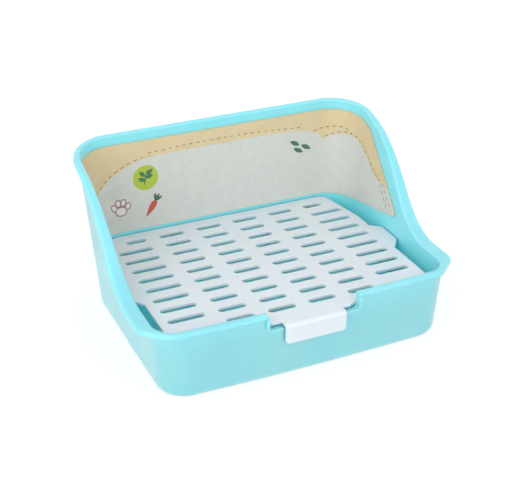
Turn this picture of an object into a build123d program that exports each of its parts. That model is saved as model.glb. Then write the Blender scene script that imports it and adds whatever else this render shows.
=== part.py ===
"""Small animal litter box: a tray with a raised back, a lift-out grate and a printed liner.

Millimetres.  +Z is up, the low front faces -Y, and the origin is on the ground under the
middle of the whole box.
"""

from math import atan, cos, degrees, radians, sin, tan
import os

from build123d import *

# Walls of the tray, on their outer faces at the ground
base_width = 287.0
base_front = -112.0
base_back = 108.6
wall = 2.5
floor = 2.5
front_bow = 3.5
front_corner = 28.0
back_corner = 38.0
base_round = 8.0
inner_round = 6.0
side_draft = 4.4
front_draft = 1.5
back_draft = 1.8

# Rim: level along the front, an S-shaped rise along both sides, nearly level at the back;
# the two slopes are shares of the mean slope over both runs
front_height = 70.5
back_height = 168.5
level_run = 26.5
steepest_run = 66.0
shoulder_run = 46.0
steepest_share = 0.43
shoulder_share = 0.84
steepest_slope = 1.362
shoulder_slope = 0.533
rear_angle = 3.0
side_overhang = 4.0
back_overhang = 3.5
front_overhang = 0.3
corner_growth = 5.0
rim_thickness = 4.5
rim_round = 3.0
rim_inner_round = 2.2

# Ears: the rim is widest at the front end of each side, where fingers grip it
ear_overhang = 12.3
ear_thickness = 5.0
ear_root = 12.5
ear_setback = 25.5
ear_round = 12.0

# Bead on the inner side of the front rim
bead_width = 7.5
bead_height = 6.0

# Grate: its gaps are to the inner faces of the walls
grate_depth = 12.8
grate_thickness = 3.0
grate_clearance = 0.8
grate_side_gap = 11.7
grate_rear_gap = 22.7
grate_front_corner = 16.0
grate_rear_corner = 10.0
grate_edge_round = 0.8
taper_start = 46.0
taper_round = 60.0
tab_front = -29.0
tab_rear = 24.0
tab_front_slant = 15.0
tab_rear_slant = 9.0
tab_round = 2.5

# Slots: the columns start at the middle, and the outer ones take up what is left
slot_pitch = 19.65
slot_width = 7.6
slot_gap = 13.6
inner_slot_length = 27.6
shortest_slot = 12.0
slot_front_margin = 18.3
slot_rear_margin = 14.0
slot_side_margin = 8.5
last_slot_margin = 11.6

# Clip at the front of the grate, which hangs over the wall outside
clip_width = 61.0
clip_drop = 19.5
clip_gap = 1.2
clip_thickness = 2.8
clip_bend = 3.6
clip_corner = 4.0
shoulder_step = 11.5
shoulder_reach = 1.5
shoulder_round = 3.0

# Notch in the front wall for the clip, with a collar round it inside
notch_gap = 3.5
notch_clearance = 1.5
notch_round = 4.0
collar_thickness = 3.0
lip_width = 3.4
lip_height = 1.2
lip_length = 11.0
lip_round = 1.0

# Ribs under the grate, and ribs on the walls that carry the grate
grate_rib_width = 1.8
grate_rib_height = 4.0
grate_rib_inset = 13.0
seat_width = 3.0
seat_overlap = 4.0
front_seat_overlap = 7.0
side_seat_inset = 5.0
back_seat_inset = 17.5
front_seat_inset = 25.0
notch_seat_inset = 11.5

# Step on the outside of each side wall, where its front part stands out and ends in a slant
step_out = 1.4
step_bottom = 8.0
step_top = 56.0
step_rear = 12.0
step_slant = 24.0

# Printed liner on the back and side walls
liner_thickness = 0.6
liner_gap = 0.15
liner_lift = 3.8
liner_top_margin = 10.5
liner_tip_y = -8.0
liner_tip_lift = 19.3
liner_tip_round = 4.0

# How far cutting and trimming shapes run past the object
overrun = 10.0
beyond = 60.0


def half_width(height):
    """Half the width of the tray over its outer faces, at a height."""
    return base_width / 2 + height * tan(radians(side_draft))


def front_face(height):
    """Y of the outer face of the front wall at its middle, at a height."""
    return base_front - height * tan(radians(front_draft))


def back_face(height):
    """Y of the outer face of the back wall, at a height."""
    return base_back + height * tan(radians(back_draft))


def bow_at(x):
    """How far the bowed front lies back at a distance from the middle."""
    return front_bow * (x / half_width(front_height)) ** 2


# Places that follow from the sizes above
blank_top = back_height + overrun
rim_half = half_width(back_height) + side_overhang
rim_front = front_face(front_height) - front_overhang
rim_rear = back_face(back_height) + back_overhang
ear_half = half_width(front_height) + ear_overhang
ear_tip = rim_front + ear_setback
ear_root_x = half_width(front_height) - ear_root
rise_start = ear_tip + level_run
rise_steepest = rise_start + steepest_run
rise_shoulder = rise_steepest + shoulder_run
mean_slope = (back_height - front_height) / (steepest_run + shoulder_run)
steepest_angle = degrees(atan(steepest_slope * mean_slope))
shoulder_angle = degrees(atan(shoulder_slope * mean_slope))
bead_front = front_face(front_height) + bead_width
bead_bottom = front_height - bead_height

grate_level = front_height - grate_depth
grate_underside = grate_level - grate_thickness
inner_half = half_width(grate_underside) - wall
grate_half = inner_half - grate_side_gap
grate_rear_half = inner_half - grate_rear_gap
tab_half = inner_half - grate_clearance
grate_front = bead_front + grate_clearance
grate_rear = back_face(grate_underside) - wall - grate_clearance
first_row = grate_front + slot_front_margin
slot_rows = int((grate_rear - slot_rear_margin - first_row) / slot_pitch) + 1
column_pitch = inner_slot_length + slot_gap

shoulder_width = clip_width + 2 * shoulder_step
notch_width = shoulder_width + 2 * notch_gap
notch_floor = grate_underside - notch_clearance
clip_inner = front_face(notch_floor) - clip_gap
clip_outer = clip_inner - clip_thickness
clip_bottom = grate_level - clip_drop


def wall_plan(height, inset, front_inset):
    """Plan of the walls at a height, drawn inside their outer faces."""
    half = half_width(height) - inset
    front = front_face(height) + front_inset
    back = back_face(height) - inset
    with BuildSketch(Plane.XY.offset(height)) as plan:
        with BuildLine():
            bow = ThreePointArc((-half, front + front_bow), (0, front), (half, front + front_bow))
            right = Line(bow @ 1, (half, back))
            rear = Line(right @ 1, (-half, back))
            Line(rear @ 1, bow @ 0)
        make_face()
        fillet(plan.vertices().group_by(Axis.Y)[0], front_corner - front_inset)
        fillet(plan.vertices().group_by(Axis.Y)[-1], back_corner - inset)
    return plan.sketch


def below_rim(front_drop, drop):
    """Everything below the rim surface, which is moved down square to itself by a drop."""
    rise = back_height - front_height
    guide = (
        (rise_start, front_height, 0.0, front_drop),
        (rise_steepest, front_height + steepest_share * rise, steepest_angle, drop),
        (rise_shoulder, front_height + shoulder_share * rise, shoulder_angle, drop),
        (rim_rear + overrun, back_height + overrun * tan(radians(rear_angle)), rear_angle, drop),
    )
    points = [(y + d * sin(radians(a)), z - d * cos(radians(a))) for y, z, a, d in guide]
    slopes = [(cos(radians(a)), sin(radians(a))) for y, z, a, d in guide]
    with BuildPart() as below:
        with BuildSketch(Plane.YZ.offset(-beyond - rim_half)):
            with BuildLine():
                level = Line((front_face(0) - beyond, points[0][1]), points[0])
                rising = Spline(*points, tangents=slopes)
                Polyline(
                    rising @ 1,
                    (rim_rear + beyond, points[-1][1]),
                    (rim_rear + beyond, -beyond),
                    (front_face(0) - beyond, -beyond),
                    level @ 0,
                )
            make_face()
        extrude(amount=2 * (beyond + rim_half))
    return below.part


# Solid block inside the walls, taller than the back
with BuildPart() as blank:
    loft(sections=[wall_plan(0, 0, 0), wall_plan(blank_top, 0, 0)], ruled=True)
    fillet(blank.faces().sort_by(Axis.Z)[0].edges(), base_round)

# Band of the rim round all four sides, wider than the walls at the ears and the back
with BuildPart() as rim:
    with BuildSketch():
        with BuildLine():
            root_y = rim_front + bow_at(ear_root_x)
            bow = ThreePointArc((-ear_root_x, root_y), (0, rim_front), (ear_root_x, root_y))
            Polyline(
                bow @ 1,
                (ear_half, ear_tip),
                (rim_half, rim_rear),
                (-rim_half, rim_rear),
                (-ear_half, ear_tip),
                bow @ 0,
            )
        make_face()
    extrude(amount=blank_top)
    fillet(rim.edges().filter_by(Axis.Z).group_by(Axis.Y)[-1], back_corner + corner_growth)
    fillet(rim.edges().filter_by(Axis.Z).filter_by(lambda e: abs(e.center().Y - ear_tip) < 0.1), ear_round)
    fillet(rim.edges().filter_by(Axis.Z).group_by(Axis.Y)[0], front_corner)
    add(below_rim(ear_thickness, rim_thickness), mode=Mode.SUBTRACT)

# Hollow of the tray; above its lower part the bead stands into it along the front
with BuildPart() as hollow:
    loft(sections=[wall_plan(floor, wall, wall), wall_plan(bead_bottom, wall, wall)], ruled=True)
    fillet(hollow.faces().sort_by(Axis.Z)[0].edges(), inner_round)
    loft(
        sections=[wall_plan(bead_bottom, wall, bead_width), wall_plan(blank_top, wall, bead_width)],
        ruled=True,
    )

# Collar round the notch, on the inside of the front wall
with BuildPart() as collar:
    with BuildSketch(Plane.XZ.offset(-bead_front)):
        with Locations((0, notch_floor - collar_thickness)):
            Rectangle(
                notch_width + 2 * collar_thickness,
                bead_bottom - notch_floor + collar_thickness + bead_height / 2,
                align=(Align.CENTER, Align.MIN),
            )
    extrude(amount=bead_width - wall / 2)

# Lips on the outside of the front wall, along both sides of the notch
with BuildPart() as notch_lips:
    with BuildSketch(Plane.XZ.offset(lip_height - front_face(front_height))) as bars:
        with Locations((notch_width / 2 + lip_width, front_height - rim_round)):
            Rectangle(2 * lip_width, lip_length, align=(Align.MAX, Align.MAX))
        fillet(bars.vertices().group_by(Axis.Y)[0], lip_round)
        mirror(about=Plane.YZ)
    extrude(amount=-lip_height - wall / 2)

# Wedge on each side wall: nothing at the front corner, and a step at its slanted rear end
with BuildPart() as side_steps:
    for height, out in ((step_bottom, step_out), (step_top, step_out / 10)):
        face_x = half_width(height)
        rear_y = step_rear - (step_top - height) * tan(radians(step_slant))
        with BuildSketch(Plane.XY.offset(height)):
            Polygon(
                (face_x - wall / 2, base_front + front_corner + front_bow),
                (face_x, base_front + front_corner + front_bow),
                (face_x + out, rear_y),
                (face_x - wall / 2, rear_y),
                align=None,
            )
    loft(ruled=True)
    mirror(about=Plane.YZ)

# Notch, with round corners at its floor and a round lip on each side
with BuildPart() as notch:
    with BuildSketch(Plane.XZ.offset(-front_face(front_height))) as opening:
        with Locations((0, notch_floor)):
            Rectangle(notch_width, front_height - notch_floor, align=(Align.CENTER, Align.MIN))
        fillet(opening.vertices().group_by(Axis.Y)[0], notch_round)
        with Locations((0, front_height)):
            Rectangle(notch_width + 4 * rim_round, overrun, align=(Align.CENTER, Align.MIN))
        sides = opening.vertices().filter_by(lambda v: abs(abs(v.X) - notch_width / 2) < 0.1)
        fillet(sides.group_by(Axis.Y)[-1], rim_round)
    extrude(amount=2 * bead_width, both=True)

# Ribs on the inside of the walls, up to the underside of the grate
with BuildPart() as seats:
    with BuildSketch(Plane.XY.offset(floor / 2)):
        front_side_seat = tab_front + tab_front_slant + side_seat_inset
        rear_side_seat = tab_rear - tab_rear_slant - side_seat_inset
        for y in (front_side_seat, rear_side_seat):
            with Locations((tab_half - seat_overlap, y)):
                Rectangle(beyond, seat_width, align=(Align.MIN, Align.CENTER))
        back_seat = grate_rear_half - back_seat_inset
        for x in (back_seat / 2, back_seat):
            with Locations((x, grate_rear - seat_overlap)):
                Rectangle(seat_width, beyond, align=(Align.CENTER, Align.MIN))
        notch_seat = notch_width / 2 + collar_thickness + notch_seat_inset
        for x in (notch_seat, grate_half - front_seat_inset):
            with Locations((x, grate_front + front_seat_overlap)):
                Rectangle(seat_width, beyond, align=(Align.CENTER, Align.MAX))
        mirror(about=Plane.YZ)
    extrude(amount=grate_underside - floor / 2)
    add(blank.part, mode=Mode.INTERSECT)

with BuildPart() as tray:
    add(blank.part)
    add(rim.part)
    add(below_rim(0, 0), mode=Mode.INTERSECT)
    top = tray.faces().filter_by(lambda f: f.normal_at().Z > 0.3 and f.center().Z > front_height - 1)
    outer = top.edges().filter_by(lambda e: abs(e.center().Y - rise_start) > 0.1)
    fillet(outer, rim_round)
    add(hollow.part, mode=Mode.SUBTRACT)
    inner = tray.edges(Select.LAST).filter_by(lambda e: e.bounding_box().min.Z > front_height - 0.1)
    fillet(inner.filter_by(lambda e: abs(e.center().Y - rise_start) > 0.1), rim_inner_round)
    add(collar.part)
    add(notch_lips.part)
    add(side_steps.part)
    add(notch.part, mode=Mode.SUBTRACT)
    add(seats.part)


def slot_columns(outer_end):
    """Middle and length of the slots to the right of the middle in a row that ends there."""
    count = int((outer_end - slot_gap / 2 - shortest_slot) / column_pitch) + 1
    starts = [slot_gap / 2 + column * column_pitch for column in range(count)]
    ends = [start + inner_slot_length for start in starts[:-1]] + [outer_end]
    return [((start + end) / 2, end - start) for start, end in zip(starts, ends)]


# Grate: slotted plate with a tab on each side
with BuildPart() as grate:
    with BuildSketch(Plane.XY.offset(grate_underside)) as plate:
        with BuildLine():
            side_y = grate_front + bow_at(grate_half)
            bow = ThreePointArc((-grate_half, side_y), (0, grate_front), (grate_half, side_y))
            right = Polyline(
                bow @ 1,
                (grate_half, tab_front),
                (tab_half, tab_front + tab_front_slant),
                (tab_half, tab_rear - tab_rear_slant),
                (grate_half, tab_rear),
                (grate_half, taper_start),
                (grate_rear_half, grate_rear),
            )
            left = Polyline(
                bow @ 0,
                (-grate_half, tab_front),
                (-tab_half, tab_front + tab_front_slant),
                (-tab_half, tab_rear - tab_rear_slant),
                (-grate_half, tab_rear),
                (-grate_half, taper_start),
                (-grate_rear_half, grate_rear),
            )
            Line(right @ 1, left @ 1)
        make_face()
        fillet(plate.vertices().group_by(Axis.Y)[0], grate_front_corner)
        fillet(plate.vertices().group_by(Axis.Y)[-1], grate_rear_corner)
        fillet(plate.vertices().filter_by(lambda v: abs(v.Y - taper_start) < 0.1), taper_round)
        fillet(plate.vertices().filter_by(lambda v: abs(v.X) > tab_half - 0.1), tab_round)
    extrude(amount=grate_thickness)
    fillet(grate.faces().sort_by(Axis.Z)[-1].edges(), grate_edge_round)

    # Strap through the notch, bent down into the clip
    strap_root = grate_front + 2 * grate_edge_round
    with BuildSketch(Plane.YZ.offset(-clip_width / 2)) as hook:
        with BuildLine():
            Polyline(
                (strap_root, grate_level),
                (clip_outer, grate_level),
                (clip_outer, clip_bottom),
                (clip_inner, clip_bottom),
                (clip_inner, grate_underside),
                (strap_root, grate_underside),
                close=True,
            )
        make_face()
        outer_bend = hook.vertices().group_by(Axis.X)[0].sort_by(Axis.Y)[-1]
        fillet(outer_bend, clip_bend)
        inner_bend = hook.vertices().filter_by(lambda v: abs(v.X - clip_inner) < 0.1).sort_by(Axis.Y)[-1]
        fillet(inner_bend, clip_bend - clip_thickness)
    extrude(amount=clip_width)
    fillet(grate.edges().filter_by(Axis.Y).group_by(Axis.Z)[0], clip_corner)

    # Shoulders on both sides of the strap
    with BuildSketch(Plane.XY.offset(grate_underside)) as shoulders:
        with Locations((0, strap_root)):
            Rectangle(
                shoulder_width, shoulder_reach + 2 * grate_edge_round, align=(Align.CENTER, Align.MAX)
            )
        fillet(shoulders.vertices().group_by(Axis.Y)[0], shoulder_round)
    extrude(amount=grate_thickness)

    # Ribs below the plate, between the columns of slots
    with BuildSketch(Plane.XY.offset(grate_underside)):
        side_ribs = len(slot_columns(grate_half - slot_side_margin)) - 1
        for column in range(-side_ribs, side_ribs + 1):
            with Locations((column * column_pitch, (grate_front + grate_rear) / 2)):
                Rectangle(grate_rib_width, grate_rear - grate_front - 2 * grate_rib_inset)
    extrude(amount=-grate_rib_height)

    # Slots; the outer ones are left out of the first row and shorter in the last
    with BuildSketch(Plane.XY.offset(grate_level)):
        for row in range(slot_rows):
            y = first_row + row * slot_pitch
            outer_end = grate_half - slot_side_margin
            if row == slot_rows - 1:
                outer_end = grate_rear_half - last_slot_margin
            columns = slot_columns(outer_end)
            if row == 0:
                columns = columns[:-1]
            for middle, length in columns:
                with Locations((-middle, y), (middle, y)):
                    SlotOverall(length, slot_width)
    extrude(amount=-grate_thickness, mode=Mode.SUBTRACT)

# Printed liner, cut from a sheet that follows the inner faces of the walls
with BuildPart() as liner:
    near = wall + liner_gap
    far = near + liner_thickness
    loft(sections=[wall_plan(grate_level, near, near), wall_plan(blank_top, near, near)], ruled=True)
    loft(
        sections=[wall_plan(grate_level, far, far), wall_plan(blank_top, far, far)],
        ruled=True,
        mode=Mode.SUBTRACT,
    )
    with BuildSketch(Plane.YZ.offset(-rim_half)) as side_view:
        with BuildLine():
            Polyline(
                (liner_tip_y, grate_level + liner_tip_lift),
                (rim_rear, grate_level + liner_tip_lift + rim_rear - liner_tip_y),
                (rim_rear, grate_level + liner_lift),
                (rim_rear - back_corner, grate_level + liner_lift),
                close=True,
            )
        make_face()
        fillet(side_view.vertices().sort_by(Axis.X)[0], liner_tip_round)
    extrude(amount=2 * rim_half, mode=Mode.INTERSECT)
    add(below_rim(liner_top_margin, liner_top_margin), mode=Mode.INTERSECT)

tray.part.label = "tray"
grate.part.label = "grate"
liner.part.label = "liner"

os.makedirs("parts", exist_ok=True)
export_step(tray.part, "parts/tray.step")
export_step(grate.part, "parts/grate.step")
export_step(liner.part, "parts/liner.step")
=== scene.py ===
"""A litter box for small animals in a pale studio, seen from the front left and above.

The tray, the grate and the liner are the frame's own nodes. The print on the liner is laid on
its face here, as thin pieces of ink: a grey field, rows of stitches and a few motifs.
"""

from math import cos, floor, pi, radians, sin

import bmesh
import bpy
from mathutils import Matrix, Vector
from mathutils.bvhtree import BVHTree


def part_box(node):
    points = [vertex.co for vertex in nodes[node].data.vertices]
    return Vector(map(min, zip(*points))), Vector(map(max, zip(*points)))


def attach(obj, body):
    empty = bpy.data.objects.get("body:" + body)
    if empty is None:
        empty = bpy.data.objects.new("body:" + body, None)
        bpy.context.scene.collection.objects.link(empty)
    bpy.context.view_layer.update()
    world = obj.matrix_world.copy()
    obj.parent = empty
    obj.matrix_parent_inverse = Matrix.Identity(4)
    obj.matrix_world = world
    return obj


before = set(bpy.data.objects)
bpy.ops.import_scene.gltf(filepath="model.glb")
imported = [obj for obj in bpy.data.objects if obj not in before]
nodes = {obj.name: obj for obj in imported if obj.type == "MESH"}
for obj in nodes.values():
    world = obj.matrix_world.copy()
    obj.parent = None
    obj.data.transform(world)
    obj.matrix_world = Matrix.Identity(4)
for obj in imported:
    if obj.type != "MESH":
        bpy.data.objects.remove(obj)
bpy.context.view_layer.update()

MM = 0.001

# Colours as they show in even light.
CYAN = "94E0ED"
CYAN_DEEP = "8DDCE9"
WHITE = "E5EDF4"
WHITE_COOL = "E0EAF2"
SHEET = "DCC79B"
SHEET_PALE = "DFCEA6"
FIELD = "D8DAD3"
STITCH = "8F7A58"
LIME = "B5C945"
LEAF = "4E7B5C"
MAUVE = "A98390"
CREAM = "EDE7E4"
CORAL = "CC5A49"

# The studio.
FLOOR_HALF = 6.0
FLOOR_GREY = 0.28
FLOOR_GLOW = 0.77
FLOOR_BOUNCE = 0.54
AMBIENT = 0.83
KEY_PLACE = Vector((0.4, -1.55, 1.15))
KEY_SIZE = 1.1
KEY_POWER = 4.0
FILL_PLACE = Vector((-1.55, -1.2, 0.85))
FILL_SIZE = 1.6
FILL_POWER = 14.0

# The stretch of a noise that is spread over a range: past it, the range's ends hold.
NOISE_LOW = 0.3
NOISE_HIGH = 0.7

# The plastics: patches of tone, a soft waviness, a fine grain and patches of gloss.
FLOW_SIZE = 60 * MM
FLOW_DETAIL = 3.0
WAVE_SIZE = 22 * MM
WAVE_DEPTH = 0.12 * MM
GRAIN_SIZE = 0.9 * MM
GRAIN_DEPTH = 0.012 * MM
GLOSS_SIZE = 8 * MM
TRAY_ROUGHNESS = 0.34
GRATE_ROUGHNESS = 0.38
GLOSSIER = 0.04
DULLER = 0.05
PLASTIC_IOR = 1.58
COAT_WEIGHT = 0.5
COAT_ROUGHNESS = 0.3

# How light scatters in the plastics, as red, green and blue shares of the reach.
SCATTER_SHARE = 1.0
SCATTER_RADIUS = (0.6, 1.0, 1.0)
TRAY_REACH = 8.5 * MM
GRATE_REACH = 3.0 * MM

# The painted shade in the tray's creases: CREASE_DEPTH of it where the share of open directions
# within CREASE_REACH is CREASE_DARK or less, and none where that share is CREASE_CLEAR or more.
CYAN_PAINTED_SHADE = "4E9FAB"
CREASE_REACH = 3.0 * MM
CREASE_SAMPLES = 12
CREASE_DARK = 0.35
CREASE_CLEAR = 0.8
CREASE_DEPTH = 0.75

# The colour sockets of a Mix node, by number, since other sockets of it share their names.
MIX_FIRST = 6
MIX_SECOND = 7
MIX_RESULT = 2

# The printed sheet and its inks.
MOTTLE_SIZE = 9 * MM
MOTTLE_DETAIL = 5.0
PAPER_GRAIN_SIZE = 0.7 * MM
PAPER_GRAIN_DEPTH = 0.008 * MM
PAPER_GLOSSIEST = 0.42
PAPER_DULLEST = 0.52
PAPER_IOR = 1.45
INK_MOTTLE = 0.03

# The camera.
CAMERA_PLACE = Vector((-0.4111, -0.8832, 0.6036))
CAMERA_TARGET = Vector((0.0011, 0.0239, 0.05775))
LENS = 80.54
SENSOR = 36.0
CLIP_START = 0.01

# The way along the liner: the back wall, a rounded corner and a side wall.
CORNER_REACH = 35 * MM
EDGE_MARGIN = 0.5 * MM
SHEET_MIDDLE = 78 * MM
EDGE_STEPS = 14

# The layers of ink: the field is the first, and each further one lies LAYER above the last.
INK_LIFT = 0.07 * MM
LAYER = 0.04 * MM
ON_FIELD = 1
ON_MOTIF = 2

# How finely the field, the curves and the motifs are divided.
FIELD_COLUMNS = 300
FIELD_ROWS = 10
BACK_STEPS = 120
SIDE_STEPS = 90
STITCH_STEPS = 160
PATCH_RINGS = (1.0, 0.66, 0.33)
DISC_POINTS = 48
OVAL_POINTS = 28
LEAF_POINTS = 24
ROOT_POINTS = 28


def linear(value):
    """A channel of a colour code, from 0 to 1, as linear light."""
    return value / 12.92 if value <= 0.04045 else ((value + 0.055) / 1.055) ** 2.4


def colour(code):
    """The linear colour of a six-figure code."""
    return (*(linear(int(code[i : i + 2], 16) / 255) for i in (0, 2, 4)), 1.0)


# Materials


def start_material(name):
    """A new material: itself, its node tree, its surface shader and the place in the frame."""
    material = bpy.data.materials.new(name)
    material.use_nodes = True
    tree = material.node_tree
    tree.nodes.clear()
    output = tree.nodes.new("ShaderNodeOutputMaterial")
    surface = tree.nodes.new("ShaderNodeBsdfPrincipled")
    tree.links.new(surface.outputs["BSDF"], output.inputs["Surface"])
    place = tree.nodes.new("ShaderNodeTexCoord").outputs["Object"]
    return material, tree, surface, place


def noise(tree, place, size, detail=2.0):
    """Noise with patches of about that size in metres."""
    texture = tree.nodes.new("ShaderNodeTexNoise")
    texture.inputs["Scale"].default_value = 1 / size
    texture.inputs["Detail"].default_value = detail
    tree.links.new(place, texture.inputs["Vector"])
    return texture.outputs["Fac"]


def ranged(tree, value, low, high):
    """The middle stretch of a noise, spread from low to high."""
    node = tree.nodes.new("ShaderNodeMapRange")
    node.inputs["From Min"].default_value = NOISE_LOW
    node.inputs["From Max"].default_value = NOISE_HIGH
    node.inputs["To Min"].default_value = low
    node.inputs["To Max"].default_value = high
    tree.links.new(value, node.inputs["Value"])
    return node.outputs["Result"]


def toned(tree, value, first, second):
    """The middle stretch of a noise, as a tone between two colours."""
    node = tree.nodes.new("ShaderNodeValToRGB")
    low, high = node.color_ramp.elements
    low.position = NOISE_LOW
    low.color = colour(first)
    high.position = NOISE_HIGH
    high.color = colour(second)
    tree.links.new(value, node.inputs["Fac"])
    return node.outputs["Color"]


def raised(tree, height, depth, under=None):
    """The normal of a surface raised by a height map, on top of another such normal."""
    node = tree.nodes.new("ShaderNodeBump")
    node.inputs["Strength"].default_value = 1.0
    node.inputs["Distance"].default_value = depth
    tree.links.new(height, node.inputs["Height"])
    if under is not None:
        tree.links.new(under, node.inputs["Normal"])
    return node.outputs["Normal"]


def moulded_plastic(name, first, second, roughness, reach):
    """Satin moulded plastic: slight flow tones, a soft waviness and a fine grain."""
    material, tree, surface, place = start_material(name)
    flow = noise(tree, place, FLOW_SIZE, FLOW_DETAIL)
    wave = noise(tree, place, WAVE_SIZE)
    grain = noise(tree, place, GRAIN_SIZE)
    tree.links.new(toned(tree, flow, first, second), surface.inputs["Base Color"])
    gloss = noise(tree, place, GLOSS_SIZE)
    spread = ranged(tree, gloss, roughness - GLOSSIER, roughness + DULLER)
    tree.links.new(spread, surface.inputs["Roughness"])
    normal = raised(tree, grain, GRAIN_DEPTH, under=raised(tree, wave, WAVE_DEPTH))
    tree.links.new(normal, surface.inputs["Normal"])
    surface.inputs["IOR"].default_value = PLASTIC_IOR
    surface.inputs["Coat Weight"].default_value = COAT_WEIGHT
    surface.inputs["Coat Roughness"].default_value = COAT_ROUGHNESS
    surface.inputs["Subsurface Weight"].default_value = SCATTER_SHARE
    surface.inputs["Subsurface Radius"].default_value = SCATTER_RADIUS
    surface.inputs["Subsurface Scale"].default_value = reach
    return material


def add_painted_crease_shade(material, shade):
    """A painted shade: a darker tone in the narrow creases of a material, where light reaches
    least.
    """
    tree = material.node_tree
    surface = next(node for node in tree.nodes if node.type == "BSDF_PRINCIPLED")
    plain = surface.inputs["Base Color"].links[0].from_socket
    openness = tree.nodes.new("ShaderNodeAmbientOcclusion")
    openness.samples = CREASE_SAMPLES
    openness.inputs["Distance"].default_value = CREASE_REACH
    share = tree.nodes.new("ShaderNodeMapRange")
    share.inputs["From Min"].default_value = CREASE_DARK
    share.inputs["From Max"].default_value = CREASE_CLEAR
    share.inputs["To Min"].default_value = CREASE_DEPTH
    share.inputs["To Max"].default_value = 0.0
    tree.links.new(openness.outputs["AO"], share.inputs["Value"])
    mix = tree.nodes.new("ShaderNodeMix")
    mix.data_type = "RGBA"
    tree.links.new(share.outputs["Result"], mix.inputs["Factor"])
    tree.links.new(plain, mix.inputs[MIX_FIRST])
    mix.inputs[MIX_SECOND].default_value = colour(shade)
    tree.links.new(mix.outputs[MIX_RESULT], surface.inputs["Base Color"])


def printed_sheet(name, first, second):
    """Ink or paper on a thin sheet: a faint mottle of the print and a fine grain."""
    material, tree, surface, place = start_material(name)
    mottle = noise(tree, place, MOTTLE_SIZE, MOTTLE_DETAIL)
    grain = noise(tree, place, PAPER_GRAIN_SIZE)
    tree.links.new(toned(tree, mottle, first, second), surface.inputs["Base Color"])
    spread = ranged(tree, grain, PAPER_GLOSSIEST, PAPER_DULLEST)
    tree.links.new(spread, surface.inputs["Roughness"])
    tree.links.new(raised(tree, grain, PAPER_GRAIN_DEPTH), surface.inputs["Normal"])
    surface.inputs["IOR"].default_value = PAPER_IOR
    return material


def shaded(code, share):
    """A colour code darkened by a share."""
    return "".join(f"{round(int(code[i : i + 2], 16) * (1 - share)):02X}" for i in (0, 2, 4))


def ink(name, code):
    """Ink of one colour, with its faint mottle."""
    return printed_sheet(name, shaded(code, INK_MOTTLE), code)


def seen_directly(tree):
    """1 for what the camera, a reflection or a clear material sees, and 0 for bounced light."""
    path = tree.nodes.new("ShaderNodeLightPath")
    result = path.outputs["Is Camera Ray"]
    for name in ("Is Glossy Ray", "Is Transmission Ray"):
        either = tree.nodes.new("ShaderNodeMath")
        either.operation = "MAXIMUM"
        tree.links.new(result, either.inputs[0])
        tree.links.new(path.outputs[name], either.inputs[1])
        result = either.outputs[0]
    return result


def scaled(tree, value, factor, offset):
    """value times factor plus offset."""
    node = tree.nodes.new("ShaderNodeMath")
    node.operation = "MULTIPLY_ADD"
    tree.links.new(value, node.inputs[0])
    node.inputs[1].default_value = factor
    node.inputs[2].default_value = offset
    return node.outputs[0]


def floor_material():
    """A white floor, lit from below as well, that keeps the object's shadow."""
    material = bpy.data.materials.new("studio_floor")
    material.use_nodes = True
    tree = material.node_tree
    tree.nodes.clear()
    output = tree.nodes.new("ShaderNodeOutputMaterial")
    paint = tree.nodes.new("ShaderNodeBsdfDiffuse")
    paint.inputs["Color"].default_value = (FLOOR_GREY, FLOOR_GREY, FLOOR_GREY, 1)
    glow = tree.nodes.new("ShaderNodeEmission")
    strength = scaled(tree, seen_directly(tree), FLOOR_GLOW - FLOOR_BOUNCE, FLOOR_BOUNCE)
    tree.links.new(strength, glow.inputs["Strength"])
    both = tree.nodes.new("ShaderNodeAddShader")
    tree.links.new(paint.outputs["BSDF"], both.inputs[0])
    tree.links.new(glow.outputs["Emission"], both.inputs[1])
    tree.links.new(both.outputs["Shader"], output.inputs["Surface"])
    return material


# The print on the liner

liner_low, liner_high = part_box("liner")
liner_face = BVHTree.FromPolygons(
    [v.co.copy() for v in nodes["liner"].data.vertices],
    [tuple(p.vertices) for p in nodes["liner"].data.polygons],
)
corner_x = liner_high.x - CORNER_REACH
corner_y = liner_high.y - CORNER_REACH
quarter_turn = CORNER_REACH * pi / 2
side_start = corner_x + quarter_turn
along_end = side_start + corner_y - liner_low.y - 2 * EDGE_MARGIN


def wall_point(along, height, lift=0.0):
    """The point of the liner's face at a distance along the walls from the middle of the back.

    It is None where the sheet doesn't reach.
    """
    side = -1 if along < 0 else 1
    run = abs(along)
    start = Vector((side * min(run, corner_x), corner_y, height))
    if run <= corner_x:
        way = Vector((0, 1, 0))
    elif run <= side_start:
        angle = (run - corner_x) / CORNER_REACH
        way = Vector((side * sin(angle), cos(angle), 0))
    else:
        start.y = corner_y - (run - side_start)
        way = Vector((side, 0, 0))
    spot, normal, _, _ = liner_face.ray_cast(start, way)
    if spot is None:
        return None
    return spot - normal * lift if normal.dot(way) > 0 else spot + normal * lift


def sheet_edge(along, outside):
    """The height of the sheet's edge there, towards a height outside the sheet."""
    inside = SHEET_MIDDLE
    for _ in range(EDGE_STEPS):
        middle = (inside + outside) / 2
        if wall_point(along, middle) is None:
            outside = middle
        else:
            inside = middle
    return inside


def smooth_path(points, count):
    """Points evenly spread in the parameter of a smooth curve through the given ones."""
    ends = [points[0], *points, points[-1]]
    path = []
    for i in range(count + 1):
        share = i / count * (len(points) - 1)
        first = min(floor(share), len(points) - 2)
        share -= first
        a, b, c, d = (Vector(point) for point in ends[first : first + 4])
        bend = 2 * a - 5 * b + 4 * c - d
        turn = 3 * b - 3 * c + d - a
        path.append((2 * b + (c - a) * share + bend * share**2 + turn * share**3) / 2)
    return path


def height_at(path, along):
    """The height of a path, whose points run from left to right, at a place along the walls."""
    if along <= path[0].x:
        return path[0].y
    for a, b in zip(path, path[1:]):
        if along <= b.x:
            return a.y + (b.y - a.y) * (along - a.x) / (b.x - a.x)
    return path[-1].y


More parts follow.
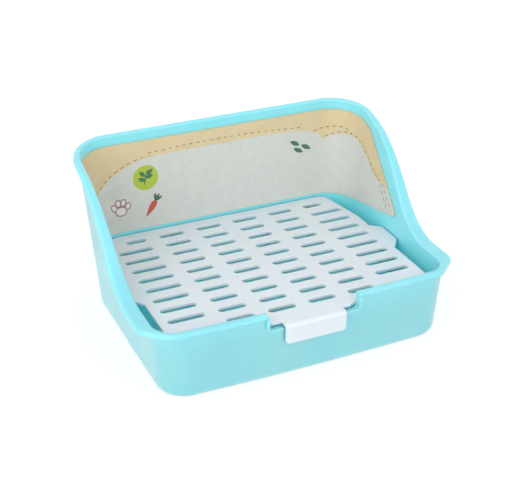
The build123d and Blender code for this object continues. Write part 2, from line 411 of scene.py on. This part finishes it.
def add_piece(name, mesh, material):
    """The mesh as a piece of print that stays on the tray."""
    data = bpy.data.meshes.new(name)
    mesh.to_mesh(data)
    mesh.free()
    data.materials.append(material)
    for polygon in data.polygons:
        polygon.use_smooth = True
    piece = bpy.data.objects.new(name, data)
    bpy.context.scene.collection.objects.link(piece)
    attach(piece, "tray_body")


def add_strip(mesh, columns):
    """Faces between neighbouring columns of points that all have the same number of rows."""
    rows = [[mesh.verts.new(p) for p in column] for column in columns]
    for left, right in zip(rows, rows[1:]):
        for k in range(len(left) - 1):
            mesh.faces.new((left[k], right[k], right[k + 1], left[k + 1]))


def add_patch(mesh, outline, centre, layer):
    """A small closed form, given round its centre, laid on the wall as rings and a middle."""
    lift = INK_LIFT + layer * LAYER
    middle = mesh.verts.new(wall_point(*centre, lift))
    loops = []
    for share in PATCH_RINGS:
        loop = []
        for x, y in outline:
            spot = wall_point(centre[0] + x * share, centre[1] + y * share, lift)
            loop.append(mesh.verts.new(spot))
        loops.append(loop)
    count = len(outline)
    for i in range(count):
        j = (i + 1) % count
        for outer, inner in zip(loops, loops[1:]):
            mesh.faces.new((outer[i], outer[j], inner[j], inner[i]))
        mesh.faces.new((loops[-1][i], loops[-1][j], middle))


def turned(points, tilt, x=0.0, y=0.0):
    """Points turned by an angle in degrees and then moved."""
    cosine = cos(radians(tilt))
    sine = sin(radians(tilt))
    return [(x + a * cosine - b * sine, y + a * sine + b * cosine) for a, b in points]


def oval(width, height, count=OVAL_POINTS):
    """An oval outline."""
    angles = [2 * pi * i / count for i in range(count)]
    return [(width / 2 * cos(a), height / 2 * sin(a)) for a in angles]


def leaf(length, width):
    """A leaf outline, pointed at both ends, that lies along x."""
    angles = [2 * pi * i / LEAF_POINTS for i in range(LEAF_POINTS)]
    return [(length / 2 * cos(a), width / 2 * sin(a) * abs(sin(a))) for a in angles]


def root(length, width):
    """The outline of a root that hangs along -y, broad at the top and pointed below."""
    outline = []
    for i in range(ROOT_POINTS):
        angle = 2 * pi * i / ROOT_POINTS
        narrowing = ROOT_MIDDLE + ROOT_TAPER * sin(angle)
        outline.append((width / 2 * cos(angle) * narrowing, length / 2 * sin(angle)))
    return outline


# Edge of the grey field: an arch over the back and a lower one from the corner to the front,
# each as (distance along the walls, height) in millimetres.
BACK_ARCH = (
    (-260, 99), (-222, 97), (-185, 96), (-155, 99), (-132, 112), (-116, 123),
    (-98, 132.5), (-80, 137.5), (-40, 139.5), (60, 139.5), (100, 136.5), (114, 132), (125, 121),
)
SIDE_ARCH = (
    (118, 121), (127, 126.5), (144, 130.7), (159, 129.6), (172, 124.5),
    (190, 114.5), (203, 105), (222, 100), (260, 100),
)

# Rows of stitches, in the same way.
STITCH_ROWS = (
    ((-158, 101), (-132, 114.5), (-116, 125.5), (-98, 135), (-82, 139.5)),
    ((-76, 143), (-30, 145), (40, 145), (98, 141)),
    ((110, 134.5), (117, 136.3), (132, 138), (146, 137.2), (155, 133)),
    (
        (124, 127), (134, 130.2), (146, 132.6), (160, 131.4),
        (173, 126.5), (191, 116), (203, 107), (221, 101.5),
    ),
    ((221, 101), (232, 92), (241, 84), (245, 80)),
    ((216, 98), (226, 89), (234, 81), (238, 76)),
    ((-221, 101), (-232, 92), (-241, 84), (-245, 80)),
    ((-216, 98), (-226, 89), (-234, 81), (-238, 76)),
)
STITCH_LENGTH = 4.4 * MM
STITCH_GAP = 3.2 * MM
STITCH_WIDTH = 0.85 * MM

# The motifs: their places in millimetres, and the sizes of their forms.
DISC_PLACE = (-80, 117)
DISC_SIZE = 27 * MM
STEM_LENGTH = 20 * MM
STEM_WIDTH = 1.5 * MM
STEM_TILT = 75
SPRIG_LEAF_LENGTH = 8.5 * MM
SPRIG_LEAF_WIDTH = 4.4 * MM
PAW_PLACE = (-108, 88)
PAW_RIM = 2.6 * MM
PALM_WIDTH = 10.5 * MM
PALM_HEIGHT = 8.5 * MM
PALM_DROP = 3.2 * MM
TOE_WIDTH = 4.2 * MM
TOE_HEIGHT = 6.2 * MM
CARROT_PLACE = (-76, 82)
ROOT_LENGTH = 20 * MM
ROOT_WIDTH = 9.5 * MM
ROOT_TILT = -35
ROOT_MIDDLE = 0.62
ROOT_TAPER = 0.38
ROOT_TOP_LENGTH = 9 * MM
ROOT_TOP_WIDTH = 3 * MM
LEAVES_PLACE = (92, 116)
LOOSE_LEAF_LENGTH = 13 * MM
LOOSE_LEAF_WIDTH = 5 * MM

# Forms that repeat round a motif's place, as (x and y in millimetres, tilt in degrees).
TOES = ((-7.2, 1.6, 30), (-2.7, 6.0, 10), (2.7, 6.0, -10), (7.2, 1.6, -30))
SPRIG_LEAVES = ((-4.2, -1.5, 150), (4.0, 1.0, 20), (-3.4, 4.2, 135), (4.6, 5.8, 40))
ROOT_TOPS = ((8.8, 9.8, 30), (7.4, 11.6, 58), (5.0, 12.4, 86))
LOOSE_LEAVES = ((0, 0, -28), (9, 2.5, -28), (-4, 8.5, -28))


def millimetres(points):
    """Points given in millimetres, in metres."""
    return [(a * MM, b * MM) for a, b in points]


def add_field(material):
    """The grey field, from the sheet's lower edge up to its arches or the sheet's own edge."""
    back = smooth_path(millimetres(BACK_ARCH), BACK_STEPS)
    side = smooth_path(millimetres(SIDE_ARCH), SIDE_STEPS)
    columns = []
    for i in range(FIELD_COLUMNS + 1):
        along = along_end * (2 * i / FIELD_COLUMNS - 1)
        top = height_at(back, along)
        if along > side[0].x:
            top = max(height_at(side, along), top if along < back[-1].x else 0)
        low = sheet_edge(along, liner_low.z - EDGE_MARGIN) + EDGE_MARGIN
        top = min(top, sheet_edge(along, liner_high.z + EDGE_MARGIN) - EDGE_MARGIN)
        heights = [low + (top - low) * k / FIELD_ROWS for k in range(FIELD_ROWS + 1)]
        if top > low:
            columns.append([wall_point(along, height, INK_LIFT) for height in heights])
    mesh = bmesh.new()
    add_strip(mesh, [column for column in columns if None not in column])
    add_piece("liner_field", mesh, material)


def add_stitches(material):
    """Rows of short stitches."""
    mesh = bmesh.new()
    lift = INK_LIFT + ON_FIELD * LAYER
    for row in STITCH_ROWS:
        path = smooth_path(millimetres(row), STITCH_STEPS)
        travelled = 0.0
        columns = []
        for a, b in zip(path, path[1:]):
            travelled += (b - a).length
            across = Vector((a.y - b.y, b.x - a.x)).normalized() * STITCH_WIDTH / 2
            if travelled % (STITCH_LENGTH + STITCH_GAP) < STITCH_LENGTH:
                ends = wall_point(*(a - across), lift), wall_point(*(a + across), lift)
                if None not in ends:
                    columns.append(ends)
                    continue
            if len(columns) > 1:
                add_strip(mesh, columns)
            columns = []
        if len(columns) > 1:
            add_strip(mesh, columns)
    add_piece("liner_stitches", mesh, material)


def add_forms(name, material, centre, forms, layer):
    """Several small forms round one centre, which is given in millimetres, as one piece."""
    mesh = bmesh.new()
    for form in forms:
        x = sum(point[0] for point in form) / len(form)
        y = sum(point[1] for point in form) / len(form)
        local = [(a - x, b - y) for a, b in form]
        add_patch(mesh, local, (centre[0] * MM + x, centre[1] * MM + y), layer)
    add_piece(name, mesh, material)


def placed(form, places):
    """Copies of a form, each tilted and moved to its place."""
    return [turned(form, tilt, x * MM, y * MM) for x, y, tilt in places]


def paw(grow):
    """The pads of a paw print, each wider and taller by grow."""
    palm = turned(oval(PALM_WIDTH + grow, PALM_HEIGHT + grow), 0, 0, -PALM_DROP)
    return [palm, *placed(oval(TOE_WIDTH + grow, TOE_HEIGHT + grow), TOES)]


def sprig():
    """A sprig of four leaves on a stem."""
    stem = turned(leaf(STEM_LENGTH, STEM_WIDTH), STEM_TILT)
    return [stem, *placed(leaf(SPRIG_LEAF_LENGTH, SPRIG_LEAF_WIDTH), SPRIG_LEAVES)]


def add_print():
    """All of the liner's print."""
    add_field(ink("ink_grey", FIELD))
    add_stitches(ink("ink_brown", STITCH))
    lime = ink("ink_lime", LIME)
    dark = ink("ink_leaf", LEAF)
    coral = ink("ink_coral", CORAL)
    disc = oval(DISC_SIZE, DISC_SIZE, DISC_POINTS)
    add_forms("liner_disc", lime, DISC_PLACE, [disc], ON_FIELD)
    add_forms("liner_sprig", dark, DISC_PLACE, sprig(), ON_MOTIF)
    mauve = ink("ink_mauve", MAUVE)
    add_forms("liner_paw_rim", mauve, PAW_PLACE, paw(PAW_RIM), ON_FIELD)
    cream = ink("ink_cream", CREAM)
    add_forms("liner_paw", cream, PAW_PLACE, paw(0), ON_MOTIF)
    carrot = turned(root(ROOT_LENGTH, ROOT_WIDTH), ROOT_TILT)
    add_forms("liner_root", coral, CARROT_PLACE, [carrot], ON_FIELD)
    tops = placed(leaf(ROOT_TOP_LENGTH, ROOT_TOP_WIDTH), ROOT_TOPS)
    add_forms("liner_root_tops", dark, CARROT_PLACE, tops, ON_MOTIF)
    leaves = placed(leaf(LOOSE_LEAF_LENGTH, LOOSE_LEAF_WIDTH), LOOSE_LEAVES)
    add_forms("liner_leaves", dark, LEAVES_PLACE, leaves, ON_FIELD)


# The studio


def add_floor():
    """A wide pale floor under the object."""
    data = bpy.data.meshes.new("floor")
    corners = [(x * FLOOR_HALF, y * FLOOR_HALF, 0) for x, y in ((-1, -1), (1, -1), (1, 1), (-1, 1))]
    data.from_pydata(corners, [], [(0, 1, 2, 3)])
    data.materials.append(floor_material())
    floor_object = bpy.data.objects.new("floor", data)
    bpy.context.scene.collection.objects.link(floor_object)


def add_world():
    """Even white light from all round, which the camera and reflections see as plain white."""
    world = bpy.data.worlds.new("studio")
    world.use_nodes = True
    tree = world.node_tree
    background = tree.nodes["Background"]
    background.inputs["Color"].default_value = (1, 1, 1, 1)
    strength = scaled(tree, seen_directly(tree), 1 - AMBIENT, AMBIENT)
    tree.links.new(strength, background.inputs["Strength"])
    bpy.context.scene.world = world


def add_light(name, place, size, power):
    """A square soft light aimed at the object."""
    data = bpy.data.lights.new(name, "AREA")
    data.shape = "SQUARE"
    data.size = size
    data.energy = power
    light = bpy.data.objects.new(name, data)
    light.location = place
    light.rotation_euler = (CAMERA_TARGET - place).to_track_quat("-Z", "Y").to_euler()
    bpy.context.scene.collection.objects.link(light)


def add_camera():
    """The camera at the photo's viewing angle."""
    data = bpy.data.cameras.new("camera")
    data.lens = LENS
    data.sensor_width = SENSOR
    data.sensor_fit = "HORIZONTAL"
    data.clip_start = CLIP_START
    camera = bpy.data.objects.new("camera", data)
    camera.location = CAMERA_PLACE
    camera.rotation_euler = (CAMERA_TARGET - CAMERA_PLACE).to_track_quat("-Z", "Y").to_euler()
    bpy.context.scene.collection.objects.link(camera)
    bpy.context.scene.camera = camera


def dress(node, material):
    """The material in a node's own slot."""
    for slot in nodes[node].material_slots:
        slot.material = material


cyan_plastic = moulded_plastic("cyan_plastic", CYAN, CYAN_DEEP, TRAY_ROUGHNESS, TRAY_REACH)
# A painted shade darkens the tray's narrow creases.
add_painted_crease_shade(cyan_plastic, CYAN_PAINTED_SHADE)
dress("tray", cyan_plastic)
white_plastic = moulded_plastic("white_plastic", WHITE, WHITE_COOL, GRATE_ROUGHNESS, GRATE_REACH)
dress("grate", white_plastic)
dress("liner", printed_sheet("printed_sheet", SHEET, SHEET_PALE))
add_print()

add_floor()
add_world()
add_light("key", KEY_PLACE, KEY_SIZE, KEY_POWER)
add_light("fill", FILL_PLACE, FILL_SIZE, FILL_POWER)
add_camera()
bpy.context.scene.view_settings.view_transform = "Standard"
